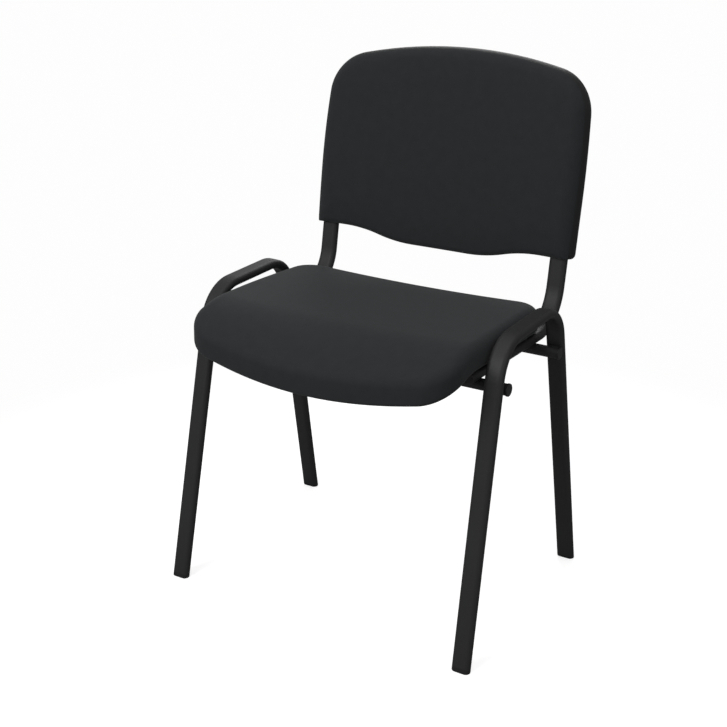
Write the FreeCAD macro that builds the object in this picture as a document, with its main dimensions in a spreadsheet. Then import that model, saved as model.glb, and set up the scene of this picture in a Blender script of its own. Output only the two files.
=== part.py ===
import FreeCAD, Part

import math
import os

import Sketcher
from FreeCAD import Placement, Rotation, Vector

# Upholstered stacking chair on a welded frame of flat-oval steel tube, in millimetres.
# +Z is up, the sitter faces -Y, and +X is on the right of someone who stands in front.
# The origin is on the floor, under the middle of the chair's bounding box.

doc = FreeCAD.newDocument("stacking_chair")

# Driving dimensions, lengths in millimetres and angles in degrees
SIZES = (
    # Flat-oval tube of the arches and uprights, the wide side across the chair
    ("tube_width", 30),
    ("tube_depth", 15),
    ("tube_wall", 1.5),
    # Side arches: feet on the floor, legs raked towards each other, planes leaning inwards
    ("foot_spacing", 531.1),
    ("arch_splay", 1.216),
    ("front_foot_y", -232.9),
    ("rear_foot_y", 166.0),
    ("front_leg_rake", 12.69),
    ("rear_leg_rake", 10.75),
    ("arch_front_height", 482.0),
    ("arch_rear_height", 484.5),
    ("arch_front_bend", 66),
    ("arch_rear_bend", 57),
    ("foot_height", 6),
    # Seat rails and back uprights, one bent tube on each side
    ("upright_spacing", 435.8),
    ("rail_height", 428.3),
    ("rail_pitch", 2.29),
    ("rail_front_y", -151.5),
    ("upright_corner_y", 154.5),
    ("upright_bend", 74),
    ("back_lean", 10.3),
    # Round crossbars, welded behind the front legs and ahead of the rear legs
    ("bar_diameter", 18),
    ("bar_wall", 1.5),
    ("weld_gap", 0.1),
    ("front_bar_inset", 0.7),
    ("rear_bar_inset", 4.3),
    # Plastic plugs and caps
    ("plug_clearance", 0.2),
    ("plug_stem", 18),
    ("plug_head", 2.5),
    ("plug_rounding", 1.2),
    ("cap_head", 3.6),
    ("cap_diameter", 19.6),
    # Upholstery
    ("cloth", 1.2),
    ("pad_gap", 0.3),
    ("board_gap", 0.1),
    ("trim_length", 800),
    ("sweep_angle", 19),
    # Seat, in a frame that lies along the rails
    ("seat_width", 475),
    ("seat_front_width", 468),
    ("seat_rear_width", 464),
    ("seat_widest_y", -60),
    ("seat_side_radius", 1800),
    ("seat_front_y", -255),
    ("seat_rear_y", 112.4),
    ("seat_front_bow", 1323),
    ("seat_rear_bow", 4200),
    ("seat_front_sweep", 7.8),
    ("seat_rear_sweep", 2.5),
    ("seat_front_corner", 57),
    ("seat_rear_corner", 51),
    ("seat_thickness", 41),
    ("seat_dish", 2300),
    ("seat_crown", 6250),
    ("seat_crown_y", -17),
    ("waterfall_start", -136),
    ("waterfall_radius", 166),
    ("waterfall_turn", 62),
    ("seat_top_roll", 14),
    ("seat_low_roll", 12),
    ("seat_hem", 30),
    ("board_thickness", 10.5),
    ("board_inset", 10.5),
    ("board_front_turn", 34),
    # Seat fastenings
    ("spacer_height", 2),
    ("spacer_diameter", 18),
    ("bolt_front_y", -85),
    ("bolt_pitch", 125),
    ("bolt_diameter", 6),
    ("bolt_clearance", 1),
    ("thread_gap", 0.1),
    ("bolt_head", 11),
    ("bolt_head_height", 3.6),
    ("bolt_socket", 4),
    ("bolt_length", 31.5),
    ("washer_diameter", 14),
    ("washer_thickness", 1.2),
    ("nut_flange", 17),
    ("nut_flange_thickness", 1.2),
    ("nut_barrel", 7.8),
    ("nut_length", 9),
    # Backrest, in a frame that lies along the uprights, with its origin 98 mm above the corner
    ("back_origin_rise", 98),
    ("back_width_low", 486.2),
    ("back_width_mid", 487.2),
    ("back_width_top", 472),
    ("back_mid_height", 170),
    ("back_shoulder_height", 295.2),
    ("back_apex_height", 350.1),
    ("back_side_height", 10.4),
    ("back_dip_height", -7.5),
    ("back_dip_width", 172.2),
    ("back_side_start", 305.2),
    ("back_dip_radius", 255),
    ("back_side_radius", 2000),
    ("back_shoulder_radius", 76),
    ("back_top_radius", 796),
    ("back_front", 5),
    ("back_rear", 26),
    ("back_crown_rise", 3.5),
    ("back_crown", 3200),
    ("back_crown_height", 150),
    ("back_wrap", 1841),
    ("back_front_roll", 22),
    ("back_low_roll", 9),
    ("back_rear_roll", 7.5),
    ("back_parting", 3.4),
    ("back_board_thickness", 6),
    ("back_board_inset", 14),
    ("shell_wall", 2.5),
    ("shell_gap", 0.3),
    ("rib_thickness", 2),
    ("upright_ribs", 5),
    ("rib_spacing", 66),
    ("rib_rows", 3),
    ("rib_row_start", 60),
    ("rib_row_pitch", 75),
    ("socket_gap", 1),
    ("upright_in_back", 240),
    # Backrest fastenings
    ("screw_low", 75),
    ("screw_pitch", 120),
    ("screw_diameter", 5),
    ("screw_clearance", 0.6),
    ("screw_head", 9.5),
    ("screw_head_height", 2.8),
    ("screw_length", 27),
    ("boss_diameter", 15),
    ("back_nut_flange", 14),
    ("back_nut_barrel", 7),
    ("back_nut_length", 5),
    ("back_nut_hole", 7.6),
)

sheet = doc.addObject("Spreadsheet::Sheet", "sizes")
for row, (alias, value) in enumerate(SIZES, 1):
    sheet.set(f"A{row}", alias)
    sheet.set(f"B{row}", str(value))
    sheet.setAlias(f"B{row}", alias)
doc.recompute()


def value_of(expression):
    """Number that an expression on the sheet gives."""
    return float(sheet.evalExpression(str(expression)))


# Frames that the pieces are placed in
RAIL_FRAME = "placement(vector(0; 0; sizes.rail_height); rotation(vector(1; 0; 0); -sizes.rail_pitch))"
CORNER_HEIGHT = "(sizes.rail_height - sizes.upright_corner_y * tan(sizes.rail_pitch))"
BACK_Y = "(sizes.upright_corner_y + sizes.back_origin_rise * tan(sizes.back_lean))"
BACK_Z = f"({CORNER_HEIGHT} + sizes.back_origin_rise)"
BACK_FRAME = f"placement(vector(0; {BACK_Y}; {BACK_Z}); rotation(vector(1; 0; 0); -sizes.back_lean))"


def arch_frame(side):
    """Plane of one arch: through the feet, leaning inwards by the splay."""
    return (f"placement(vector({side} * sizes.foot_spacing / 2; 0; 0);"
            f" rotation(vector(0; 1; 0); -1 * {side} * sizes.arch_splay))")


def upright_frame(side):
    """Plane of one seat rail and upright."""
    return f"placement(vector({side} * sizes.upright_spacing / 2; 0; 0); rotation(vector(0; 0; 1); 0))"


# Sketch helpers: every point and radius is bound to an expression

def origin_plane(body, role):
    return [item for item in body.Origin.OriginFeatures if item.Role == role][0]


def new_body(label, frame=None):
    body = doc.addObject("PartDesign::Body", label)
    body.Label = label
    if frame:
        body.setExpression("Placement", frame)
    return body


def body_sketch(body, name, role, offset=None):
    sketch = body.newObject("Sketcher::SketchObject", f"{body.Name}_{name}")
    sketch.AttachmentSupport = [(origin_plane(body, role), "")]
    sketch.MapMode = "FlatFace"
    if offset:
        sketch.setExpression("AttachmentOffset", offset)
    doc.recompute()
    return sketch


def free_sketch(name, rotation):
    sketch = doc.addObject("Sketcher::SketchObject", name)
    sketch.Placement = Placement(Vector(0, 0, 0), rotation)
    return sketch


def bind(sketch, kind, *arguments):
    """Add a dimension whose value is the last argument, an expression."""
    expression = str(arguments[-1])
    index = sketch.addConstraint(Sketcher.Constraint(kind, *arguments[:-1], value_of(expression)))
    sketch.setExpression(f"Constraints[{index}]", expression)


def pin(sketch, geometry, end, point):
    bind(sketch, "DistanceX", geometry, end, point[0])
    bind(sketch, "DistanceY", geometry, end, point[1])


def flat_point(point):
    return Vector(value_of(point[0]), value_of(point[1]), 0)


def rounded_path(sketch, corners, radii, closed):
    """Lines through the corners, with an arc of the given radius at each; radius None is a sharp corner.

    An open path has no radius at its two ends. Each corner is a construction point at its own
    expressions, which both lines pass through.
    """
    points = [flat_point(corner) for corner in corners]
    count = len(points)
    bends = []
    for index, radius in enumerate(radii):
        here = points[index]
        if radius is None:
            bends.append((here, None, here))
            continue
        to_last = (points[index - 1] - here).normalize()
        to_next = (points[(index + 1) % count] - here).normalize()
        half = to_last.getAngle(to_next) / 2
        reach = value_of(radius) / math.tan(half)
        centre = here + (to_last + to_next).normalize() * (value_of(radius) / math.sin(half))
        bends.append((here + to_last * reach, centre, here + to_next * reach))
    spans = count if closed else count - 1
    lines = []
    for index in range(spans):
        start = bends[index][2]
        end = bends[(index + 1) % count][0]
        lines.append(sketch.addGeometry(Part.LineSegment(start, end)))
    for index, radius in enumerate(radii):
        start, centre, end = bends[index]
        before = lines[index - 1] if closed or index else None
        after = lines[index] if index < spans else None
        if radius is None:
            if before is not None and after is not None:
                sketch.addConstraint(Sketcher.Constraint("Coincident", before, 2, after, 1))
            pin(sketch, before if after is None else after, 2 if after is None else 1, corners[index])
            continue
        turn = (points[index] - points[index - 1]).cross(points[(index + 1) % count] - points[index]).z
        first, last = (start, end) if turn > 0 else (end, start)
        circle = Part.Circle(centre, Vector(0, 0, 1), value_of(radius))
        angles = [math.atan2(spot.y - centre.y, spot.x - centre.x) for spot in (first, last)]
        arc = sketch.addGeometry(Part.ArcOfCircle(circle, *angles))
        arc_start, arc_end = (1, 2) if turn > 0 else (2, 1)
        sketch.addConstraint(Sketcher.Constraint("Tangent", before, 2, arc, arc_start))
        sketch.addConstraint(Sketcher.Constraint("Tangent", arc, arc_end, after, 1))
        bind(sketch, "Radius", arc, radius)
        corner = sketch.addGeometry(Part.Point(points[index]), True)
        sketch.addConstraint(Sketcher.Constraint("PointOnObject", corner, 1, before))
        sketch.addConstraint(Sketcher.Constraint("PointOnObject", corner, 1, after))
        pin(sketch, corner, 1, corners[index])


def arc_profile(sketch, points, arcs):
    """Closed profile through the points; arcs gives {edge: (radius, 1 if it bulges to the right)}."""
    places = [flat_point(point) for point in points]
    count = len(points)
    ends = []
    for index in range(count):
        start = places[index]
        end = places[(index + 1) % count]
        if index not in arcs:
            ends.append((sketch.addGeometry(Part.LineSegment(start, end)), 1, 2))
            continue
        radius, side = arcs[index]
        length = (end - start).Length
        normal = Vector(end.y - start.y, start.x - end.x, 0).normalize() * side
        height = math.sqrt(value_of(radius) ** 2 - length ** 2 / 4)
        centre = (start + end) * 0.5 - normal * height
        first, last = (start, end) if side > 0 else (end, start)
        angles = [math.atan2(spot.y - centre.y, spot.x - centre.x) for spot in (first, last)]
        circle = Part.Circle(centre, Vector(0, 0, 1), value_of(radius))
        arc = sketch.addGeometry(Part.ArcOfCircle(circle, *angles))
        ends.append((arc, 1, 2) if side > 0 else (arc, 2, 1))
    for index in range(count):
        edge, start_end, last_end = ends[index]
        following = ends[(index + 1) % count]
        sketch.addConstraint(Sketcher.Constraint("Coincident", edge, last_end, following[0], following[1]))
        pin(sketch, edge, start_end, points[index])
        if index in arcs:
            bind(sketch, "Radius", edge, arcs[index][0])


def flat_oval(sketch, width, depth):
    """Outline of the tube, round at both ends of its width, centred on the sketch."""
    wide = value_of(width)
    deep = value_of(depth)
    half = (wide - deep) / 2
    radius = deep / 2
    up = Vector(0, 0, 1)
    top = sketch.addGeometry(Part.LineSegment(Vector(half, radius, 0), Vector(-half, radius, 0)))
    left_circle = Part.Circle(Vector(-half, 0, 0), up, radius)
    left = sketch.addGeometry(Part.ArcOfCircle(left_circle, math.pi / 2, 3 * math.pi / 2))
    low = sketch.addGeometry(Part.LineSegment(Vector(-half, -radius, 0), Vector(half, -radius, 0)))
    right_circle = Part.Circle(Vector(half, 0, 0), up, radius)
    right = sketch.addGeometry(Part.ArcOfCircle(right_circle, -math.pi / 2, math.pi / 2))
    for first, second in ((top, left), (left, low), (low, right), (right, top)):
        sketch.addConstraint(Sketcher.Constraint("Tangent", first, 2, second, 1))
    sketch.addConstraint(Sketcher.Constraint("Symmetric", left, 3, right, 3, -1, 1))
    sketch.addConstraint(Sketcher.Constraint("PointOnObject", left, 3, -1))
    bind(sketch, "Radius", left, f"({depth}) / 2")
    bind(sketch, "DistanceX", left, 3, right, 3, f"({width}) - ({depth})")


def circle(sketch, place, diameter):
    middle = flat_point(place)
    ring = sketch.addGeometry(Part.Circle(middle, Vector(0, 0, 1), value_of(diameter) / 2))
    pin(sketch, ring, 3, place)
    bind(sketch, "Diameter", ring, diameter)


def rectangle(sketch, low, high):
    corners = ((low[0], low[1]), (high[0], low[1]), (high[0], high[1]), (low[0], high[1]))
    rounded_path(sketch, corners, (None,) * 4, closed=True)


def pad(body, sketch, length, reverse=False, middle=False):
    feature = body.newObject("PartDesign::Pad", f"{sketch.Name}_pad")
    feature.Profile = (sketch, [""])
    feature.setExpression("Length", length)
    feature.Reversed = reverse
    feature.SideType = "Symmetric" if middle else "One side"
    doc.recompute()
    return feature


def cut_through(body, sketch):
    """Pocket both ways through everything; it has to take some of the solid away."""
    before = body.Shape.Volume
    feature = body.newObject("PartDesign::Pocket", f"{sketch.Name}_pocket")
    feature.Profile = (sketch, [""])
    feature.SideType = "Symmetric"
    feature.Type = "ThroughAll"
    doc.recompute()
    if body.Shape.Volume > before - 1:
        raise ValueError(f"{feature.Name} cuts nothing")
    return feature


def revolve(body, sketch, axis="V_Axis"):
    feature = body.newObject("PartDesign::Revolution", f"{sketch.Name}_turned")
    feature.Profile = (sketch, [""])
    feature.ReferenceAxis = (sketch, [axis])
    feature.Angle = 360
    doc.recompute()
    return feature


def repeat_four(body, feature, along, along_pitch):
    """Copies of a feature at both sides and at two places along them."""
    pattern = body.newObject("PartDesign::MultiTransform", f"{body.Name}_four")
    pattern.Originals = [feature]
    steps = []
    for direction, pitch in (("X_Axis", "sizes.upright_spacing"), (along, along_pitch)):
        step = body.newObject("PartDesign::LinearPattern", f"{body.Name}_along_{direction[0].lower()}")
        step.Direction = (origin_plane(body, direction), [""])
        step.setExpression("Length", pitch)
        step.Occurrences = 2
        steps.append(step)
    pattern.Transformations = steps
    body.Tip = pattern
    doc.recompute()
    return pattern


# Frame: arches, uprights and crossbars

def tube(label, frame, corners, bends, start_frame):
    """Bent flat-oval tube along a path in the YZ plane."""
    body = new_body(label, frame)
    path = body_sketch(body, "path", "YZ_Plane")
    rounded_path(path, corners, (None, *bends, None), closed=False)
    section = body_sketch(body, "section", "XY_Plane", start_frame)
    flat_oval(section, "sizes.tube_width", "sizes.tube_depth")
    flat_oval(section, "sizes.tube_width - 2 * sizes.tube_wall", "sizes.tube_depth - 2 * sizes.tube_wall")
    doc.recompute()
    sweep = body.newObject("PartDesign::AdditivePipe", f"{label}_sweep")
    sweep.Profile = (section, [""])
    sweep.Spine = (path, [])
    doc.recompute()
    return body


FRONT_END = ("sizes.front_foot_y + sizes.foot_height * tan(sizes.front_leg_rake)", "sizes.foot_height")
REAR_END = ("sizes.rear_foot_y - sizes.foot_height * tan(sizes.rear_leg_rake)", "sizes.foot_height")


def side_arch(label, side):
    corners = (
        FRONT_END,
        ("sizes.front_foot_y + sizes.arch_front_height * tan(sizes.front_leg_rake)", "sizes.arch_front_height"),
        ("sizes.rear_foot_y - sizes.arch_rear_height * tan(sizes.rear_leg_rake)", "sizes.arch_rear_height"),
        REAR_END,
    )
    start = (f"placement(vector(0; {FRONT_END[0]}; {FRONT_END[1]});"
             " rotation(vector(1; 0; 0); -sizes.front_leg_rake))")
    return tube(label, arch_frame(side), corners, ("sizes.arch_front_bend", "sizes.arch_rear_bend"), start)


def along_rail(y):
    return f"(sizes.rail_height - ({y}) * tan(sizes.rail_pitch))"


def up_back(distance):
    """Point on the upright's centreline, a distance up from the backrest's origin."""
    return (f"({BACK_Y} + ({distance}) * sin(sizes.back_lean))",
            f"({BACK_Z} + ({distance}) * cos(sizes.back_lean))")


def back_upright(label, side):
    front_end = ("sizes.rail_front_y", along_rail("sizes.rail_front_y"))
    corner = ("sizes.upright_corner_y", CORNER_HEIGHT)
    start = (f"placement(vector(0; {front_end[0]}; {front_end[1]});"
             " rotation(vector(1; 0; 0); -90 - sizes.rail_pitch))")
    corners = (front_end, corner, up_back("sizes.upright_in_back"))
    body = tube(label, upright_frame(side), corners, ("sizes.upright_bend",), start)
    rail_holes = body_sketch(body, "rail_holes", "XY_Plane", RAIL_FRAME)
    for place in ("sizes.bolt_front_y", "sizes.bolt_front_y + sizes.bolt_pitch"):
        circle(rail_holes, (0, place), "sizes.bolt_diameter + sizes.bolt_clearance")
    doc.recompute()
    cut_through(body, rail_holes)
    back_holes = body_sketch(body, "back_holes", "XY_Plane", BACK_FRAME + " * placement(vector(0; 0; 0); "
                             "rotation(vector(1; 0; 0); 90))")
    for place in ("sizes.screw_low", "sizes.screw_low + sizes.screw_pitch"):
        circle(back_holes, (0, place), "sizes.screw_diameter + sizes.screw_clearance")
    doc.recompute()
    cut_through(body, back_holes)
    return body


# A crossbar lies under the rails and against the legs, both a weld gap away.
REACH = "(sizes.tube_depth / 2 + sizes.bar_diameter / 2 + sizes.weld_gap)"
RAIL_DROP = f"(sizes.rail_height - {REACH} / cos(sizes.rail_pitch))"
FRONT_BAR_Y = (f"((sizes.front_foot_y + tan(sizes.front_leg_rake) * {RAIL_DROP}"
               f" + {REACH} / cos(sizes.front_leg_rake))"
               " / (1 + tan(sizes.front_leg_rake) * tan(sizes.rail_pitch)))")
REAR_BAR_Y = (f"((sizes.rear_foot_y - tan(sizes.rear_leg_rake) * {RAIL_DROP}"
              f" - {REACH} / cos(sizes.rear_leg_rake))"
              " / (1 - tan(sizes.rear_leg_rake) * tan(sizes.rail_pitch)))")


def bar_height(y):
    return f"({RAIL_DROP} - {y} * tan(sizes.rail_pitch))"


def bar_end(y, inset):
    """Half length of a crossbar that stops an inset short of the arch's outer side."""
    return (f"(sizes.foot_spacing / 2 - {bar_height(y)} * tan(sizes.arch_splay)"
            f" + sizes.tube_width / 2 - {inset})")


def crossbar(label, y, inset):
    body = new_body(label, f"placement(vector(0; {y}; {bar_height(y)}); rotation(vector(0; 0; 1); 0))")
    ring = body_sketch(body, "ring", "YZ_Plane")
    circle(ring, (0, 0), "sizes.bar_diameter")
    circle(ring, (0, 0), "sizes.bar_diameter - 2 * sizes.bar_wall")
    doc.recompute()
    pad(body, ring, f"2 * {bar_end(y, inset)}", middle=True)
    return body


def bar_cap(label, side, y, inset):
    """Push-in cap: a domed head against the tube's end and a stem inside it."""
    turn = 90 * side
    body = new_body(label, f"placement(vector({side} * {bar_end(y, inset)}; {y}; {bar_height(y)});"
                           f" rotation(vector(0; 1; 0); {turn}))")
    profile = body_sketch(body, "profile", "XZ_Plane")
    stem = "sizes.bar_diameter / 2 - sizes.bar_wall - sizes.plug_clearance"
    rim = "sizes.cap_head - sizes.plug_rounding"
    points = (
        (0, "-sizes.plug_stem"),
        (stem, "-sizes.plug_stem"),
        (stem, 0),
        ("sizes.cap_diameter / 2", 0),
        ("sizes.cap_diameter / 2", rim),
        ("sizes.cap_diameter / 2 - sizes.plug_rounding", "sizes.cap_head"),
        (0, "sizes.cap_head"),
    )
    arc_profile(profile, points, {4: ("sizes.plug_rounding", 1)})
    doc.recompute()
    revolve(body, profile)
    return body


def oval_plug(label, frame, head):
    """Plug for a flat-oval tube: a head of the tube's outline and a clear-fitting stem."""
    body = new_body(label, frame)
    head_sketch = body_sketch(body, "head", "XY_Plane")
    flat_oval(head_sketch, "sizes.tube_width", "sizes.tube_depth")
    doc.recompute()
    pad(body, head_sketch, head, reverse=True)
    stem_sketch = body_sketch(body, "stem", "XY_Plane")
    inner = "- 2 * sizes.tube_wall - 2 * sizes.plug_clearance"
    flat_oval(stem_sketch, f"sizes.tube_width {inner}", f"sizes.tube_depth {inner}")
    doc.recompute()
    pad(body, stem_sketch, "sizes.plug_stem")
    return body


def level_edges(shape, height, tolerance=0.01):
    """Names of the edges that lie at a height."""
    names = []
    for number, edge in enumerate(shape.Edges, 1):
        box = edge.BoundBox
        if abs(box.ZMin - height) < tolerance and abs(box.ZMax - height) < tolerance:
            names.append(f"Edge{number}")
    return names


def rounded_edges(label, base, edges, radius, frame=None):
    """Body that takes a finished solid and rounds some of its edges."""
    body = new_body(label, frame)
    body.BaseFeature = base
    doc.recompute()
    feature = body.newObject("PartDesign::Fillet", f"{label}_rounding")
    feature.Base = (body.Group[0], edges)
    feature.setExpression("Radius", radius)
    doc.recompute()
    return body


def foot_plug(label, side, end, rake):
    """Foot plug, cut level with the floor and rounded round its sole."""
    frame = (f"{arch_frame(side)} * placement(vector(0; {end[0]}; {end[1]});"
             f" rotation(vector(1; 0; 0); {rake}))")
    blank = oval_plug(f"{label}_blank", frame, "2 * sizes.foot_height + sizes.tube_depth")
    floor = doc.addObject("Part::Box", f"{label}_floor")
    floor.setExpression("Length", "2 * sizes.foot_spacing")
    floor.setExpression("Width", "4 * sizes.foot_spacing")
    floor.setExpression("Height", "sizes.foot_spacing")
    floor.setExpression("Placement", "placement(vector(-sizes.foot_spacing; -2 * sizes.foot_spacing;"
                        " -sizes.foot_spacing); rotation(vector(0; 0; 1); 0))")
    level = doc.addObject("Part::Cut", f"{label}_level")
    level.Base = blank
    level.Tool = floor
    doc.recompute()
    return rounded_edges(label, level, level_edges(level.Shape, 0), "sizes.plug_rounding")


def rail_plug(label, side):
    """Plug in the front end of a seat rail, rounded round its face."""
    turn = "rotation(vector(1; 0; 0); -90 - sizes.rail_pitch)"
    end = f"placement(vector(0; sizes.rail_front_y; {along_rail('sizes.rail_front_y')}); {turn})"
    blank = oval_plug(f"{label}_blank", None, "sizes.plug_head")
    edges = level_edges(blank.Shape, -sheet.plug_head)
    return rounded_edges(label, blank, edges, "sizes.plug_rounding", f"{upright_frame(side)} * {end}")


# Cushion forms: a slab turned round a far axis, trimmed to an outline and rolled over at its edges

UPRIGHT_PLANE = Rotation(Vector(1, 0, 0), 90)
SIDE_PLANE = Rotation(Vector(1, 1, 1), 120)


def inside(sketch, name, inset):
    """The outline, moved inwards by an inset."""
    offset = doc.addObject("Part::Offset2D", name)
    offset.Source = sketch
    offset.Join = 2
    offset.setExpression("Value", f"-({inset})")
    return offset


def column(name, outline, inset, direction):
    """Straight column of an outline, long enough to pass through the whole cushion."""
    base = outline if inset == "0" else inside(outline, f"{name}_outline", inset)
    feature = doc.addObject("Part::Extrusion", name)
    feature.Base = base
    feature.DirMode = "Custom"
    feature.Dir = direction
    feature.Solid = True
    feature.Symmetric = True
    feature.setExpression("LengthFwd", "sizes.trim_length / 2")
    return feature


def turned(name, profile, base, axis):
    """Profile swept sideways round an axis in front of or above the cushion."""
    feature = doc.addObject("Part::Revolution", name)
    feature.Source = profile
    for letter, expression in zip("xyz", base):
        feature.setExpression(f"Base.{letter}", str(expression))
    feature.Axis = axis
    feature.Symmetric = True
    feature.setExpression("Angle", "sizes.sweep_angle")
    feature.Solid = True
    return feature


def combine(kind, name, base, tool):
    feature = doc.addObject(f"Part::{kind}", name)
    feature.Base = base
    feature.Tool = tool
    return feature


def face_sides(shape, side_of):
    """For each edge, the sides that its two faces look to."""
    owners = {}
    for face in shape.Faces:
        low_u, high_u, low_v, high_v = face.ParameterRange
        middle = ((low_u + high_u) / 2, (low_v + high_v) / 2)
        side = side_of(face.normalAt(*middle), face.valueAt(*middle))
        for edge in face.Edges:
            owners.setdefault(edge.hashCode(), set()).add(side)
    return [owners.get(edge.hashCode(), set()) for edge in shape.Edges]


def rolled(name, base, side_of, pairs, radius):
    """Roll over the edges between two sides of a form."""
    edges = []
    for number, sides in enumerate(face_sides(base.Shape, side_of), 1):
        if sides in pairs:
            edges.append((number, radius, radius))
    feature = doc.addObject("Part::Fillet", name)
    feature.Base = base
    feature.Edges = edges
    doc.recompute()
    return feature


# Seat: the frame lies along the rails, with the underside of the cover a spacer above them

SEAT_LOW = ("(sizes.tube_depth / 2 + sizes.spacer_height"
            " - (sizes.seat_dish - sqrt(sizes.seat_dish ^ 2 - (sizes.upright_spacing / 2) ^ 2)))")
DISH_AXIS = (0, 0, f"{SEAT_LOW} + sizes.seat_dish")
FRONT_APEX = "(sizes.seat_front_y - sizes.seat_front_bow * (1 / cos(sizes.seat_front_sweep) - 1))"
REAR_APEX = "(sizes.seat_rear_y + sizes.seat_rear_bow * (1 / cos(sizes.seat_rear_sweep) - 1))"


def seat_outline():
    sketch = free_sketch("seat_outline", Rotation(0, 0, 0, 1))
    front_corner = f"{FRONT_APEX} + sizes.seat_front_width / 2 * tan(sizes.seat_front_sweep)"
    rear_corner = f"{REAR_APEX} - sizes.seat_rear_width / 2 * tan(sizes.seat_rear_sweep)"
    right = (
        ("sizes.seat_front_width / 2", front_corner, "sizes.seat_front_corner"),
        ("sizes.seat_width / 2", "sizes.seat_widest_y", "sizes.seat_side_radius"),
        ("sizes.seat_rear_width / 2", rear_corner, "sizes.seat_rear_corner"),
    )
    left = tuple((f"-{x}", y, radius) for x, y, radius in reversed(right))
    front = ((0, FRONT_APEX, "sizes.seat_front_bow"),)
    rear = ((0, REAR_APEX, "sizes.seat_rear_bow"),)
    path = front + right + rear + left
    rounded_path(sketch, [item[:2] for item in path], [item[2] for item in path], closed=True)
    return sketch


def seat_band(name, low, high, turn):
    """Side profile between two heights above the underside, down the waterfall by an angle."""
    sketch = free_sketch(name, SIDE_PLANE)
    rear = "sizes.seat_rear_y + sizes.seat_thickness"
    centre = f"({SEAT_LOW} - sizes.waterfall_radius)"

    def fall(height):
        reach = f"(sizes.waterfall_radius + {height})"
        return (f"sizes.waterfall_start - {reach} * sin({turn})", f"{centre} + {reach} * cos({turn})")

    points = (
        (rear, f"{SEAT_LOW} + {low}"),
        ("sizes.waterfall_start", f"{SEAT_LOW} + {low}"),
        fall(low),
        fall(high),
        ("sizes.waterfall_start", f"{SEAT_LOW} + {high}"),
        (rear, f"{SEAT_LOW} + {high}"),
    )
    arcs = {1: (f"sizes.waterfall_radius + {low}", 1), 3: (f"sizes.waterfall_radius + {high}", -1)}
    arc_profile(sketch, points, arcs)
    return sketch


def seat_side(name, inset):
    """Side profile of a cushion form: flat underside, waterfall front and a crowned top."""
    sketch = free_sketch(name, SIDE_PLANE)
    rear = "(sizes.seat_rear_y + sizes.seat_thickness)"
    start = "sizes.waterfall_start"
    low_radius = f"(sizes.waterfall_radius + {inset})"
    top_radius = f"(sizes.waterfall_radius - {inset})"
    crown_radius = f"(sizes.seat_crown - {inset})"
    low_centre = f"({SEAT_LOW} - sizes.waterfall_radius)"
    top_centre = f"({low_centre} + sizes.seat_thickness)"
    lean = f"asin((sizes.seat_crown_y - {start}) / (sizes.seat_crown - sizes.waterfall_radius))"
    crown_centre = f"({top_centre} - (sizes.seat_crown - sizes.waterfall_radius) * cos({lean}))"
    front = f"{start} - sizes.waterfall_radius * sin(sizes.waterfall_turn)"
    turn = f"asin(sizes.waterfall_radius * sin(sizes.waterfall_turn) /"
    points = (
        (rear, f"{SEAT_LOW} + {inset}"),
        (start, f"{SEAT_LOW} + {inset}"),
        (front, f"{low_centre} + {low_radius} * cos({turn} {low_radius}))"),
        (front, f"{top_centre} + {top_radius} * cos({turn} {top_radius}))"),
        (f"{start} - {top_radius} * sin({lean})", f"{top_centre} + {top_radius} * cos({lean})"),
        (rear, f"{crown_centre} + sqrt({crown_radius} ^ 2 - ({rear} - sizes.seat_crown_y) ^ 2)"),
    )
    arcs = {1: (low_radius, 1), 3: (top_radius, -1), 4: (crown_radius, -1)}
    arc_profile(sketch, points, arcs)
    return sketch


def seat_side_of(normal, place, upright=0.001):
    """Side of the seat form that a face belongs to; a wall's normal has almost no rise."""
    if abs(normal.z) < upright:
        return "wall"
    return "top" if normal.z > 0 else "low"


def seat_form(name, outline, inset):
    up = Vector(0, 0, 1)
    slab = turned(f"{name}_slab", seat_side(f"{name}_side", inset), DISH_AXIS, Vector(0, 1, 0))
    block = combine("Common", f"{name}_block", slab, column(f"{name}_column", outline, inset, up))
    doc.recompute()
    depth = value_of(inset)
    top = rolled(f"{name}_top", block, seat_side_of, [{"wall", "top"}], sheet.seat_top_roll - depth)
    return rolled(name, top, seat_side_of, [{"wall", "low"}], sheet.seat_low_roll - depth)


def finish(feature, label, frame):
    feature.Label = label
    feature.setExpression("Placement", frame)
    return feature


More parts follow.
